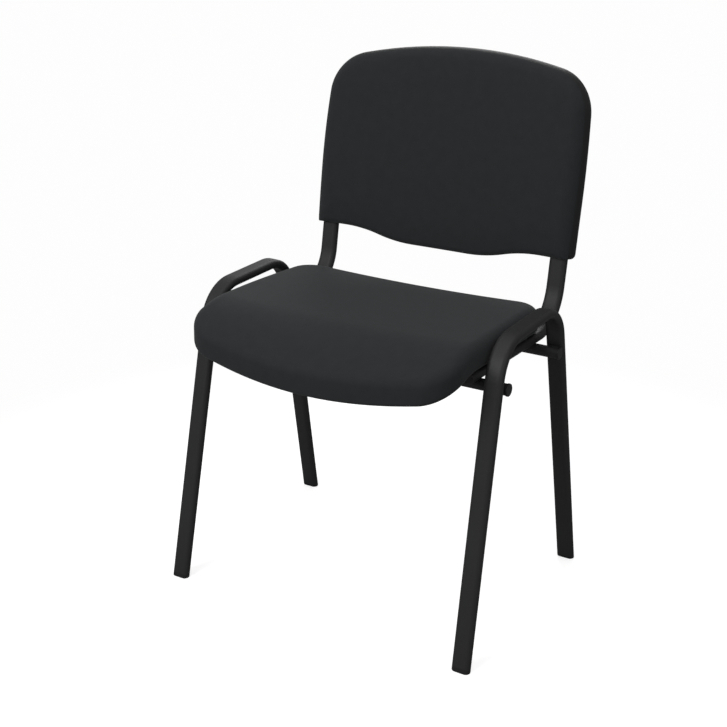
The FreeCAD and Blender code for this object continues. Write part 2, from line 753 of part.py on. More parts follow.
def seat():
    up = Vector(0, 0, 1)
    outline = seat_outline()
    outer = seat_form("seat_outer", outline, "0")
    lining = seat_form("seat_lining", outline, "sizes.cloth")
    core = seat_form("seat_core", outline, "(sizes.cloth + sizes.pad_gap)")

    low = "(sizes.cloth + sizes.pad_gap + sizes.board_gap)"
    high = f"({low} + sizes.board_thickness)"
    board_band = turned("board_band", seat_band("board_profile", low, high, "sizes.board_front_turn"),
                        DISH_AXIS, Vector(0, 1, 0))
    board_blank = combine("Common", "board_blank", board_band,
                          column("board_column", outline, "sizes.board_inset", up))
    board_trim = combine("Common", "board_trim", board_blank, core)
    holes = bolt_cylinders("board_holes", "sizes.nut_barrel + 2 * sizes.pad_gap")
    board = combine("Cut", "seat_board", board_trim, holes)

    room_band = turned("board_room_band",
                       seat_band("board_room_profile", "(-sizes.seat_thickness / 4)",
                                 f"({high} + sizes.pad_gap)", "(sizes.board_front_turn + 0.2)"),
                       DISH_AXIS, Vector(0, 1, 0))
    room = combine("Common", "board_room", room_band,
                   column("board_room_column", outline, "sizes.board_inset - sizes.pad_gap", up))
    flange_room = bolt_cylinders("flange_room", "sizes.nut_flange + 2 * sizes.pad_gap",
                                 f"{NUT_TOP} + sizes.pad_gap")
    tools = doc.addObject("Part::MultiFuse", "foam_tools")
    tools.Shapes = [room, flange_room]
    foam = combine("Cut", "seat_foam", core, tools)

    hollow = combine("Cut", "cover_hollow", outer, lining)
    mouth_band = turned("mouth_band",
                        seat_band("mouth_profile", "(-sizes.seat_thickness / 4)",
                                  "(sizes.seat_thickness / 2)", "(sizes.waterfall_turn - 4)"),
                        DISH_AXIS, Vector(0, 1, 0))
    mouth = combine("Common", "cover_mouth", mouth_band,
                    column("mouth_column", outline, "sizes.seat_hem", up))
    open_cover = combine("Cut", "cover_open", hollow, mouth)
    cover = combine("Cut", "seat_cover", open_cover,
                    bolt_cylinders("cover_holes", "sizes.bolt_diameter + sizes.bolt_clearance"))
    return [
        finish(board, "seat_board", RAIL_FRAME),
        finish(foam, "seat_foam", RAIL_FRAME),
        finish(cover, "seat_cover", RAIL_FRAME),
    ]


# The tee nut's flange rests on the board at its outer side, where the dish is higher.
NUT_TOP = (f"({SEAT_LOW} + sizes.cloth + sizes.pad_gap + sizes.board_gap + sizes.board_thickness"
           " + sizes.seat_dish"
           " - sqrt(sizes.seat_dish ^ 2 - (sizes.upright_spacing / 2 + sizes.nut_flange / 2) ^ 2)"
           " + sizes.nut_flange_thickness)")


def bolt_cylinders(name, diameter, top="sizes.seat_thickness * 0.75"):
    """Four cylinders on the bolts' axes, from below the rails up to a height."""
    fused = doc.addObject("Part::MultiFuse", name)
    shapes = []
    for number, (side, step) in enumerate(((-1, 0), (1, 0), (-1, 1), (1, 1)), 1):
        pin_shape = doc.addObject("Part::Cylinder", f"{name}_{number}")
        pin_shape.setExpression("Radius", f"({diameter}) / 2")
        pin_shape.setExpression("Height", f"({top}) + sizes.tube_depth")
        pin_shape.setExpression("Placement", f"placement(vector({side} * sizes.upright_spacing / 2;"
                                f" sizes.bolt_front_y + {step} * sizes.bolt_pitch; -sizes.tube_depth);"
                                " rotation(vector(0; 0; 1); 0))")
        shapes.append(pin_shape)
    fused.Shapes = shapes
    return fused


def turned_fastener(label, frame, plane, profile_offset, points, along, pitch):
    """Turned piece on the first fastener's axis, and its three copies."""
    body = new_body(label, frame)
    sketch = body_sketch(body, "profile", plane, profile_offset)
    arc_profile(sketch, points, {})
    doc.recompute()
    feature = revolve(body, sketch)
    repeat_four(body, feature, along, pitch)
    return body


# In the XZ plane's own axes the offset is across, up and forward.
BOLT_AXIS = ("placement(vector(-sizes.upright_spacing / 2; 0; -sizes.bolt_front_y);"
             " rotation(vector(0; 0; 1); 0))")


def bolted_piece(label, frame, points):
    return turned_fastener(label, frame, "XZ_Plane", BOLT_AXIS, points, "Y_Axis", "sizes.bolt_pitch")


def seat_fastenings():
    rail = "sizes.tube_depth / 2"
    seated = f"-({rail}) - sizes.washer_thickness"
    bolt = (
        (0, f"{seated} - sizes.bolt_head_height + sizes.bolt_socket / 2"),
        ("sizes.bolt_socket / 2", f"{seated} - sizes.bolt_head_height + sizes.bolt_socket / 2"),
        ("sizes.bolt_socket / 2", f"{seated} - sizes.bolt_head_height"),
        ("sizes.bolt_head / 3", f"{seated} - sizes.bolt_head_height"),
        ("sizes.bolt_head / 2", f"{seated} - sizes.bolt_head_height / 3"),
        ("sizes.bolt_head / 2", seated),
        ("sizes.bolt_diameter / 2", seated),
        ("sizes.bolt_diameter / 2", f"{seated} + sizes.bolt_length"),
        (0, f"{seated} + sizes.bolt_length"),
    )
    bore = "sizes.bolt_diameter / 2 + sizes.thread_gap"
    clear_bore = f"{bore} + sizes.thread_gap"
    washer = (
        (clear_bore, f"-({rail})"),
        (clear_bore, seated),
        ("sizes.washer_diameter / 2", seated),
        ("sizes.washer_diameter / 2", f"-({rail})"),
    )
    nut_low = f"{NUT_TOP} - sizes.nut_flange_thickness"
    nut = (
        (bore, NUT_TOP),
        (bore, f"{nut_low} - sizes.nut_length"),
        ("sizes.nut_barrel / 2", f"{nut_low} - sizes.nut_length"),
        ("sizes.nut_barrel / 2", nut_low),
        ("sizes.nut_flange / 2", nut_low),
        ("sizes.nut_flange / 2", NUT_TOP),
    )
    spacer = (
        (clear_bore, rail),
        ("sizes.spacer_diameter / 2", rail),
        ("sizes.spacer_diameter / 2", f"{rail} + 2 * sizes.spacer_height"),
        (clear_bore, f"{rail} + 2 * sizes.spacer_height"),
    )
    blanks = bolted_piece("spacer_blanks", None, spacer)
    above = turned("spacer_limit", seat_band("spacer_limit_profile", "0", "(sizes.seat_thickness / 2)", "10"),
                   DISH_AXIS, Vector(0, 1, 0))
    spacers = combine("Cut", "seat_spacers", blanks, above)
    return [
        bolted_piece("seat_bolts", RAIL_FRAME, bolt),
        bolted_piece("seat_washers", RAIL_FRAME, washer),
        bolted_piece("seat_tee_nuts", RAIL_FRAME, nut),
        finish(spacers, "seat_spacers", RAIL_FRAME),
    ]


# Backrest: X across, Y to the rear and Z up along the uprights, which run through Y = 0

WRAP_AXIS = (0, "-sizes.back_wrap", 0)


def back_outline():
    sketch = free_sketch("back_outline", UPRIGHT_PLANE)
    right = (
        ("sizes.back_dip_width / 2", "sizes.back_dip_height", "sizes.back_dip_radius"),
        ("sizes.back_side_start / 2", "sizes.back_side_height", "sizes.back_dip_radius"),
        ("sizes.back_width_low / 2", "sizes.back_side_height", None),
        ("sizes.back_width_mid / 2", "sizes.back_mid_height", "sizes.back_side_radius"),
        ("sizes.back_width_top / 2", "sizes.back_shoulder_height", "sizes.back_shoulder_radius"),
    )
    left = tuple((f"-{x}", y, radius) for x, y, radius in reversed(right))
    top = ((0, "sizes.back_apex_height", "sizes.back_top_radius"),)
    path = right + top + left
    rounded_path(sketch, [item[:2] for item in path], [item[2] for item in path], closed=True)
    return sketch


BACK_LOW = "(sizes.back_dip_height - sizes.back_rear)"
BACK_HIGH = "(sizes.back_apex_height + sizes.back_rear)"


def back_side(name, inset):
    """Side profile of a backrest form: straight rear and a crowned front."""
    sketch = free_sketch(name, SIDE_PLANE)
    crown_radius = f"(sizes.back_crown - {inset})"
    centre = "(sizes.back_crown - sizes.back_front - sizes.back_crown_rise)"

    def front(height):
        return f"{centre} - sqrt({crown_radius} ^ 2 - ({height} - sizes.back_crown_height) ^ 2)"

    points = (
        (f"sizes.back_rear - {inset}", BACK_LOW),
        (f"sizes.back_rear - {inset}", BACK_HIGH),
        (front(BACK_HIGH), BACK_HIGH),
        (front(BACK_LOW), BACK_LOW),
    )
    arc_profile(sketch, points, {2: (crown_radius, 1)})
    return sketch


def back_layer(name, front, rear):
    """Wrapped slab between two distances to the rear of the uprights' centre."""
    sketch = free_sketch(f"{name}_profile", SIDE_PLANE)
    rectangle(sketch, (front, BACK_LOW), (rear, BACK_HIGH))
    return turned(name, sketch, WRAP_AXIS, Vector(0, 0, 1))


def back_side_of(normal, place, mostly=0.8):
    """Side of the backrest form that a face belongs to, by where most of its normal points."""
    if abs(normal.y) > mostly:
        return "front" if normal.y < 0 else "rear"
    low_enough = place.z < sheet.back_side_height + sheet.back_low_roll
    return "low" if normal.z < -mostly and low_enough else "wall"


def back_form(name, outline, inset):
    forward = Vector(0, 1, 0)
    slab = turned(f"{name}_slab", back_side(f"{name}_side", inset), WRAP_AXIS, Vector(0, 0, 1))
    block = combine("Common", f"{name}_block", slab, column(f"{name}_column", outline, inset, forward))
    doc.recompute()
    depth = value_of(inset)
    front = rolled(f"{name}_front", block, back_side_of, [{"front", "wall"}], sheet.back_front_roll - depth)
    low = rolled(f"{name}_low", front, back_side_of, [{"front", "low"}, {"wall", "low"}],
                 sheet.back_low_roll - depth / 2)
    rear = [{"rear", "wall"}, {"rear", "low"}]
    return rolled(name, low, back_side_of, rear, sheet.back_rear_roll - depth)


def screw_cylinders(name, diameter, front, rear):
    """Four cylinders on the screws' axes, between two distances to the rear."""
    fused = doc.addObject("Part::MultiFuse", name)
    shapes = []
    for number, (side, step) in enumerate(((-1, 0), (1, 0), (-1, 1), (1, 1)), 1):
        pin_shape = doc.addObject("Part::Cylinder", f"{name}_{number}")
        pin_shape.setExpression("Radius", f"({diameter}) / 2")
        pin_shape.setExpression("Height", f"({rear}) - ({front})")
        pin_shape.setExpression("Placement", f"placement(vector({side} * sizes.upright_spacing / 2; {rear};"
                                f" sizes.screw_low + {step} * sizes.screw_pitch);"
                                " rotation(vector(1; 0; 0); 90))")
        shapes.append(pin_shape)
    fused.Shapes = shapes
    return fused


def wrap_at(distance):
    """How far the wrap has come forward at a distance from the middle."""
    return f"(sizes.back_wrap - sqrt(sizes.back_wrap ^ 2 - ({distance}) ^ 2))"


# Seats of the screw heads in the shell and of the tee-nut flanges on the board
SCREW_SEAT = f"(sizes.back_rear - {wrap_at('sizes.upright_spacing / 2')} - sizes.shell_wall)"
BACK_NUT_SEAT = ("(sizes.back_parting - sizes.back_board_thickness"
                 f" - {wrap_at('sizes.upright_spacing / 2 + sizes.back_nut_flange / 2')})")


def shell_ribs():
    """Upright and level ribs, later trimmed to the inside of the shell."""
    ribs = []
    outermost = int(sheet.upright_ribs) // 2
    for number in range(-outermost, outermost + 1):
        rib = doc.addObject("Part::Box", f"upright_rib_{number + outermost + 1}")
        rib.setExpression("Length", "sizes.rib_thickness")
        rib.setExpression("Width", "4 * sizes.back_rear")
        rib.setExpression("Height", f"{BACK_HIGH} - {BACK_LOW}")
        rib.setExpression("Placement", f"placement(vector({number} * sizes.rib_spacing"
                          f" - sizes.rib_thickness / 2; -2 * sizes.back_rear; {BACK_LOW});"
                          " rotation(vector(0; 0; 1); 0))")
        ribs.append(rib)
    for number in range(int(sheet.rib_rows)):
        rib = doc.addObject("Part::Box", f"level_rib_{number + 1}")
        rib.setExpression("Length", "sizes.upright_spacing - sizes.tube_width - 2 * sizes.socket_gap")
        rib.setExpression("Width", "4 * sizes.back_rear")
        rib.setExpression("Height", "sizes.rib_thickness")
        rib.setExpression("Placement", "placement(vector(-sizes.upright_spacing / 2 + sizes.tube_width / 2"
                          " + sizes.socket_gap; -2 * sizes.back_rear;"
                          f" sizes.rib_row_start + {number} * sizes.rib_row_pitch);"
                          " rotation(vector(0; 0; 1); 0))")
        ribs.append(rib)
    fused = doc.addObject("Part::MultiFuse", "shell_ribs")
    fused.Shapes = ribs
    return fused


def tube_sockets():
    """Notches through the shell's lower wall, open to the front, that the uprights pass through."""
    notches = []
    for number, side in enumerate((-1, 1), 1):
        notch = doc.addObject("Part::Box", f"socket_{number}")
        notch.setExpression("Length", "sizes.tube_width + 2 * sizes.socket_gap")
        notch.setExpression("Width", "2 * sizes.back_rear")
        notch.setExpression("Height", "2 * sizes.back_rear")
        notch.setExpression("Placement", f"placement(vector({side} * sizes.upright_spacing / 2"
                            " - sizes.tube_width / 2 - sizes.socket_gap;"
                            " sizes.tube_depth / 2 + sizes.socket_gap - 2 * sizes.back_rear;"
                            " sizes.back_side_height - sizes.back_rear); rotation(vector(0; 0; 1); 0))")
        notches.append(notch)
    fused = doc.addObject("Part::MultiFuse", "tube_sockets")
    fused.Shapes = notches
    return fused


def backrest():
    forward = Vector(0, 1, 0)
    outline = back_outline()
    outer = back_form("back_outer", outline, "0")
    lining = back_form("back_lining", outline, "sizes.cloth")
    core = back_form("back_core", outline, "(sizes.cloth + sizes.pad_gap)")
    cavity = back_form("back_cavity", outline, "sizes.shell_wall")

    far_front = "-4 * sizes.back_rear"
    far_rear = "2 * sizes.back_rear"
    pad_region = back_layer("pad_region", far_front, "sizes.back_parting")
    shell_region = back_layer("shell_region", "sizes.back_parting + sizes.shell_gap", far_rear)

    board_layer = back_layer("back_board_layer", "sizes.back_parting - sizes.back_board_thickness",
                             "sizes.back_parting")
    board_blank = combine("Common", "back_board_blank", board_layer,
                          column("back_board_column", outline, "sizes.back_board_inset", forward))
    board = combine("Cut", "back_board", board_blank,
                    screw_cylinders("back_board_holes", "sizes.back_nut_hole", far_front, far_rear))

    room_layer = back_layer("back_room_layer", "sizes.back_parting - sizes.back_board_thickness"
                            " - sizes.pad_gap", far_rear)
    room = combine("Common", "back_room", room_layer,
                   column("back_room_column", outline, "sizes.back_board_inset - sizes.pad_gap", forward))
    flange_room = screw_cylinders("back_flange_room", "sizes.boss_diameter + 2 * sizes.pad_gap",
                                  f"{BACK_NUT_SEAT} - sizes.nut_flange_thickness - sizes.pad_gap",
                                  "sizes.back_rear")
    foam_tools = doc.addObject("Part::MultiFuse", "back_foam_tools")
    foam_tools.Shapes = [room, flange_room]
    foam_blank = combine("Common", "back_foam_blank", core, pad_region)
    foam = combine("Cut", "back_foam", foam_blank, foam_tools)

    cover_blank = combine("Common", "back_cover_blank", outer, pad_region)
    cover = combine("Cut", "back_cover", cover_blank, lining)

    shell_blank = combine("Common", "back_shell_blank", outer, shell_region)
    shell_skin = combine("Cut", "back_shell_skin", shell_blank, cavity)
    ribs = combine("Common", "ribs_in_shell", shell_ribs(), cavity)
    ribs_trimmed = combine("Common", "ribs_trimmed", ribs, shell_region)
    bosses = screw_cylinders("screw_bosses", "sizes.boss_diameter",
                             "sizes.tube_depth / 2 + sizes.shell_gap", f"{SCREW_SEAT} + sizes.shell_wall / 2")
    shell_body = doc.addObject("Part::MultiFuse", "back_shell_body")
    shell_body.Shapes = [shell_skin, ribs_trimmed, bosses]
    cuts = doc.addObject("Part::MultiFuse", "back_shell_cuts")
    cuts.Shapes = [
        tube_sockets(),
        screw_cylinders("screw_ways", "sizes.screw_diameter + sizes.screw_clearance", "0", far_rear),
        screw_cylinders("head_ways", "sizes.screw_head + 2 * sizes.screw_clearance",
                        SCREW_SEAT, far_rear),
    ]
    shell = combine("Cut", "back_shell", shell_body, cuts)
    return [
        finish(board, "back_board", BACK_FRAME),
        finish(foam, "back_foam", BACK_FRAME),
        finish(cover, "back_cover", BACK_FRAME),
        finish(shell, "back_shell", BACK_FRAME),
    ]


# In the XY plane's own axes the offset is across, to the rear and up.
SCREW_AXIS = "placement(vector(-sizes.upright_spacing / 2; 0; sizes.screw_low); rotation(vector(0; 0; 1); 0))"


def screwed_piece(label, points):
    return turned_fastener(label, BACK_FRAME, "XY_Plane", SCREW_AXIS, points, "Z_Axis", "sizes.screw_pitch")


def back_fastenings():
    """Screws from the rear and the tee nuts that they turn into, in the front of the board."""
    screw = (
        (0, f"{SCREW_SEAT} + sizes.screw_head_height"),
        (0, f"{SCREW_SEAT} - sizes.screw_length"),
        ("sizes.screw_diameter / 2", f"{SCREW_SEAT} - sizes.screw_length"),
        ("sizes.screw_diameter / 2", SCREW_SEAT),
        ("sizes.screw_head / 2", SCREW_SEAT),
        ("sizes.screw_head / 2", f"{SCREW_SEAT} + sizes.screw_head_height / 3"),
        ("sizes.screw_head / 4", f"{SCREW_SEAT} + sizes.screw_head_height"),
    )
    bore = "sizes.screw_diameter / 2 + sizes.thread_gap"
    nut = (
        (bore, f"{BACK_NUT_SEAT} - sizes.nut_flange_thickness"),
        ("sizes.back_nut_flange / 2", f"{BACK_NUT_SEAT} - sizes.nut_flange_thickness"),
        ("sizes.back_nut_flange / 2", BACK_NUT_SEAT),
        ("sizes.back_nut_barrel / 2", BACK_NUT_SEAT),
        ("sizes.back_nut_barrel / 2", f"{BACK_NUT_SEAT} + sizes.back_nut_length"),
        (bore, f"{BACK_NUT_SEAT} + sizes.back_nut_length"),
    )
    return [screwed_piece("back_screws", screw), screwed_piece("back_tee_nuts", nut)]


def build():
    pieces = []
    for word, side in (("left", -1), ("right", 1)):
        pieces.append(side_arch(f"side_arch_{word}", side))
        pieces.append(back_upright(f"back_upright_{word}", side))
        pieces.append(rail_plug(f"rail_plug_{word}", side))
        pieces.append(bar_cap(f"front_bar_cap_{word}", side, FRONT_BAR_Y, "sizes.front_bar_inset"))
        pieces.append(bar_cap(f"rear_bar_cap_{word}", side, REAR_BAR_Y, "sizes.rear_bar_inset"))
        pieces.append(foot_plug(f"foot_front_{word}", side, FRONT_END, "-sizes.front_leg_rake"))
        pieces.append(foot_plug(f"foot_rear_{word}", side, REAR_END, "sizes.rear_leg_rake"))
    pieces.append(crossbar("front_crossbar", FRONT_BAR_Y, "sizes.front_bar_inset"))
    pieces.append(crossbar("rear_crossbar", REAR_BAR_Y, "sizes.rear_bar_inset"))
    pieces += seat()
    pieces += seat_fastenings()
    pieces += backrest()
    pieces += back_fastenings()
    return pieces


pieces = build()
doc.recompute()

for item in doc.Objects:
    if "Invalid" in item.State or "Error" in item.State:
        raise ValueError(f"{item.Name} failed: {item.State}")
os.makedirs("parts", exist_ok=True)
for piece in pieces:
    if piece.Shape.isNull() or not piece.Shape.isValid():
        raise ValueError(f"{piece.Label} has no valid shape")
for piece in pieces:
    piece.Shape.exportStep(f"parts/{piece.Label}.step")
    box = piece.Shape.BoundBox
    print(f"{piece.Label}: {len(piece.Shape.Solids)} solids, {piece.Shape.Volume:.0f} mm3,"
          f" z {box.ZMin:.2f} to {box.ZMax:.2f}")
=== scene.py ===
import math

import bpy
import numpy as np
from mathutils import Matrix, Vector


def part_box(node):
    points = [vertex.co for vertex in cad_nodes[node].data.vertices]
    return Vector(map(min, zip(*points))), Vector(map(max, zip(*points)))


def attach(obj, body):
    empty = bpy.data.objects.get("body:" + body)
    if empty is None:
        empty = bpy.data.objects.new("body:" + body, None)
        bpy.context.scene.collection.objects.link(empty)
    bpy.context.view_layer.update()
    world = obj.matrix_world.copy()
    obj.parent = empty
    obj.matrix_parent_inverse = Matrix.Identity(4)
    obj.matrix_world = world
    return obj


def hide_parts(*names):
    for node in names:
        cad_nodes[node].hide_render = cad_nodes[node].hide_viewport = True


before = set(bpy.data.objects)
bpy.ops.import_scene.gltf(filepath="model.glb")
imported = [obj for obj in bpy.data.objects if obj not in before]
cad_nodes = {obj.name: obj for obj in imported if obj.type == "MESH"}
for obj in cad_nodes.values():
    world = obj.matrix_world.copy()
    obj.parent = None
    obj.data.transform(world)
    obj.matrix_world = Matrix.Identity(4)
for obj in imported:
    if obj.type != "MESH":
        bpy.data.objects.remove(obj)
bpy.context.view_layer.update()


# Frame: two bent side arches, two rails that run up into the backrest and two crossbars,
# all of steel tube under one coat of black powder paint. The coat is satin, with a fine
# orange peel, and the lowest part of the legs is scuffed by shoes and by other chairs.
SIDES = {"left": -1, "right": 1}


def add_node(material, kind, settings=None, **inputs):
    """Add a shader node. Inputs are numbers, colours or other nodes' outputs, named with _ for a space."""
    node = material.node_tree.nodes.new(kind)
    for key, value in (settings or {}).items():
        setattr(node, key, value)
    for key, value in inputs.items():
        socket = node.inputs[key.replace("_", " ")]
        if isinstance(value, bpy.types.NodeSocket):
            material.node_tree.links.new(value, socket)
        else:
            socket.default_value = value
    return node


def calculate(material, operation, first, second=0.0):
    node = material.node_tree.nodes.new("ShaderNodeMath")
    node.operation = operation
    for socket, value in zip(node.inputs, (first, second)):
        if isinstance(value, bpy.types.NodeSocket):
            material.node_tree.links.new(value, socket)
        else:
            socket.default_value = value
    return node.outputs[0]


def principled(name, roughness, **values):
    """Material with one principled shader, whose even values stay on the shader's own sockets."""
    material = bpy.data.materials.new(name)
    material.use_nodes = True
    shader = material.node_tree.nodes["Principled BSDF"]
    shader.inputs["Roughness"].default_value = roughness
    for key, value in values.items():
        shader.inputs[key.replace("_", " ")].default_value = value
    return material, shader


def mottled(material, shader, vector, scale, dark, pale, detail=4.0):
    """Base colour that drifts between two tones."""
    noise = add_node(material, "ShaderNodeTexNoise", Vector=vector, Scale=scale, Detail=detail)
    tones = add_node(material, "ShaderNodeMix", {"data_type": "RGBA"})
    material.node_tree.links.new(noise.outputs["Fac"], tones.inputs["Factor"])
    tones.inputs[6].default_value = (*dark, 1)
    tones.inputs[7].default_value = (*pale, 1)
    material.node_tree.links.new(tones.outputs[2], shader.inputs["Base Color"])


def bumped(material, shader, height, strength, depth):
    """Fine relief of a depth in metres, from a height between nought and one."""
    bump = add_node(material, "ShaderNodeBump", Strength=strength, Distance=depth, Height=height)
    material.node_tree.links.new(bump.outputs["Normal"], shader.inputs["Normal"])


def object_place(material):
    return add_node(material, "ShaderNodeTexCoord").outputs["Object"]


def dress(names, material):
    """Give CAD nodes their material."""
    for name in names:
        node = cad_nodes[name]
        node.data.materials.clear()
        node.data.materials.append(material)


def ring_surface(rings, uv=None):
    """Places, faces and cloth places of a closed skin over rings of points, with a pole at each end."""
    rows, around, _ = rings.shape
    places = np.concatenate([rings.reshape(-1, 3), [rings[0].mean(0), rings[-1].mean(0)]])
    index = np.arange(rows * around).reshape(rows, around)
    ahead = np.roll(index, -1, axis=1)
    quads = np.stack([index[:-1], index[1:], ahead[1:], ahead[:-1]], axis=-1).reshape(-1, 4)
    first = np.stack([np.full(around, rows * around), index[0], ahead[0]], axis=-1)
    last = np.stack([np.full(around, rows * around + 1), ahead[-1], index[-1]], axis=-1)
    faces = quads.tolist() + first.tolist() + last.tolist()
    if uv is None:
        return places, faces, places[:, :2]
    return places, faces, np.concatenate([uv.reshape(-1, 2), [uv[0].mean(0)], [uv[-1].mean(0)]])


def mesh_piece(name, surfaces, material):
    """One piece of the object from closed surfaces, smooth, with its material and its UV map."""
    places = []
    faces = []
    flat = []
    count = 0
    for surface_places, surface_faces, surface_flat in surfaces:
        places.append(surface_places)
        flat.append(surface_flat)
        faces += [[corner + count for corner in face] for face in surface_faces]
        count += len(surface_places)
    mesh = bpy.data.meshes.new(name)
    mesh.from_pydata(np.concatenate(places).tolist(), [], faces)
    layer = mesh.uv_layers.new(name="cloth")
    corners = np.zeros(len(mesh.loops), dtype=np.int32)
    mesh.loops.foreach_get("vertex_index", corners)
    layer.data.foreach_set("uv", np.concatenate(flat)[corners].astype(np.float32).ravel())
    mesh.polygons.foreach_set("use_smooth", np.ones(len(faces), dtype=bool))
    mesh.materials.append(material)
    piece = bpy.data.objects.new(name, mesh)
    bpy.context.scene.collection.objects.link(piece)
    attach(piece, "root")
    return piece


def bead(start, end, radius, ripple, turns):
    """Rounded bar between two points; its radius ripples a share up and down a number of times."""
    rows, around = 26, 10
    start, end = np.array(start), np.array(end)
    along = np.linspace(0, 1, rows)
    across = np.cross(end - start, [0.0, 0.0, 1.0])
    across /= np.linalg.norm(across)
    upright = np.cross(across, (end - start) / np.linalg.norm(end - start))
    ends = np.sqrt(np.clip(1 - np.abs(2 * along - 1) ** 6, 0, 1)) * 0.97 + 0.03
    sizes = radius * ends * (1 + ripple * np.sin(along * turns * 2 * math.pi))
    turn = np.linspace(0, 2 * math.pi, around, endpoint=False)
    ring = np.outer(np.cos(turn), across) + np.outer(np.sin(turn), upright)
    return ring_surface(start + along[:, None, None] * (end - start) + sizes[:, None, None] * ring)


def powder_coat():
    dark = (0.0185, 0.0186, 0.0195)
    pale = (0.024, 0.024, 0.025)
    scuff_height = 0.16
    material, shader = principled("black_powder_coat", 0.56, Specular_IOR_Level=0.42)
    place = object_place(material)
    mottled(material, shader, place, 14.0, dark, pale)
    peel = add_node(material, "ShaderNodeTexNoise", Vector=place, Scale=900.0, Detail=2.0)
    bumped(material, shader, peel.outputs["Fac"], 0.16, 0.0004)
    # Dull, scuffed patches, stronger towards the floor
    height = add_node(material, "ShaderNodeSeparateXYZ", Vector=place).outputs["Z"]
    low = add_node(material, "ShaderNodeMapRange", Value=height, From_Min=scuff_height, From_Max=0.0)
    patches = add_node(material, "ShaderNodeTexNoise", Vector=place, Scale=42.0, Detail=6.0, Roughness=0.7)
    scuffs = calculate(material, "MULTIPLY", low.outputs["Result"], patches.outputs["Fac"])
    drift = add_node(material, "ShaderNodeTexNoise", Vector=place, Scale=6.0, Detail=3.0)
    base = add_node(material, "ShaderNodeMapRange", Value=drift.outputs["Fac"], To_Min=0.50, To_Max=0.62)
    total = calculate(material, "ADD", base.outputs["Result"], calculate(material, "MULTIPLY", scuffs, 0.3))
    material.node_tree.links.new(total, shader.inputs["Roughness"])
    return material


paint = powder_coat()
tubes = [f"{piece}_{side}" for piece in ("side_arch", "back_upright") for side in SIDES]
dress(tubes + ["front_crossbar", "rear_crossbar"], paint)


def bar_welds(name, bar, leg_rake, towards_leg):
    """Short weld beads above and below a crossbar on each leg, and before and behind it on each rail."""
    bar_radius, bead_radius, half_length = 0.009, 0.0019, 0.0085
    groove, lift = 0.0052, 0.0012
    foot_x, splay, rail_x, rail_pitch = 0.26555, math.radians(1.216), 0.2179, math.radians(2.29)
    low, high = (np.array(corner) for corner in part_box(bar))
    middle = (low + high) / 2
    leg_up = np.array([0, towards_leg * -math.sin(leg_rake), math.cos(leg_rake)])
    leg_out = np.array([0, towards_leg * math.cos(leg_rake), math.sin(leg_rake)])
    rail_along = np.array([0, math.cos(rail_pitch), -math.sin(rail_pitch)])
    rail_up = np.array([0, math.sin(rail_pitch), math.cos(rail_pitch)])
    leg_x = foot_x - middle[2] * math.tan(splay)
    beads = []
    for x, along, out in ((leg_x, leg_up, leg_out), (rail_x, rail_along, rail_up)):
        for side in SIDES.values():
            for way in (-1, 1):
                place = middle + out * (bar_radius - lift) + along * way * groove
                place[0] = side * x
                reach = np.array([half_length, 0, 0])
                beads.append(bead(place - reach, place + reach, bead_radius, 0.09, 6))
    mesh_piece(name, beads, paint)


bar_welds("front_bar_welds", "front_crossbar", math.radians(12.69), -1)
bar_welds("rear_bar_welds", "rear_crossbar", math.radians(10.75), 1)


# Plugs: black plastic feet under the legs, plugs in the rails' front ends and domed caps in
# the crossbars. They are moulded smooth, a little duller than the paint beside them.
def moulded_plastic(name, dark, pale, grain, depth, roughness):
    material, shader = principled(name, roughness, Specular_IOR_Level=0.4)
    place = object_place(material)
    mottled(material, shader, place, 30.0, dark, pale)
    texture = add_node(material, "ShaderNodeTexNoise", Vector=place, Scale=grain, Detail=3.0, Roughness=0.6)
    bumped(material, shader, texture.outputs["Fac"], 0.25, depth)
    return material


plug_plastic = moulded_plastic("plug_plastic", (0.012, 0.012, 0.013), (0.017, 0.017, 0.018),
                               700.0, 0.0003, 0.5)
plugs = [f"{piece}_{side}" for side in SIDES
         for piece in ("rail_plug", "front_bar_cap", "rear_bar_cap", "foot_front", "foot_rear")]
dress(plugs + ["seat_spacers"], plug_plastic)


# Fastenings: zinc-plated bolts, washers, screws and tee nuts. Only the heads under the rails
# and in the rear of the backrest show.
def zinc_plate():
    material, shader = principled("zinc_plate", 0.34, Metallic=1.0)
    place = object_place(material)
    mottled(material, shader, place, 260.0, (0.46, 0.46, 0.44), (0.62, 0.62, 0.6))
    brush = add_node(material, "ShaderNodeTexNoise", Vector=place, Scale=1500.0, Detail=2.0)
    bumped(material, shader, brush.outputs["Fac"], 0.12, 0.0002)
    return material


zinc = zinc_plate()
dress(["seat_bolts", "seat_washers", "seat_tee_nuts", "back_screws", "back_tee_nuts"], zinc)


# Boards: bare moulded plywood, beech outside. The grain runs across the chair, and the seat
# board shows from below inside the hem of its cover.
def plywood():
    material, shader = principled("bare_plywood", 0.62)
    place = object_place(material)
    along = add_node(material, "ShaderNodeMapping", Vector=place, Scale=(3.0, 46.0, 46.0))
    grain = add_node(material, "ShaderNodeTexNoise", Vector=along.outputs["Vector"], Scale=3.2, Detail=7.0,
                     Roughness=0.65, Distortion=0.6)
    tones = add_node(material, "ShaderNodeValToRGB", Fac=grain.outputs["Fac"])
    tones.color_ramp.elements[0].position = 0.3
    tones.color_ramp.elements[0].color = (0.30, 0.185, 0.095, 1)
    tones.color_ramp.elements[1].position = 0.72
    tones.color_ramp.elements[1].color = (0.50, 0.345, 0.20, 1)
    material.node_tree.links.new(tones.outputs["Color"], shader.inputs["Base Color"])
    bumped(material, shader, grain.outputs["Fac"], 0.2, 0.0006)
    return material


dress(["seat_board", "back_board"], plywood())


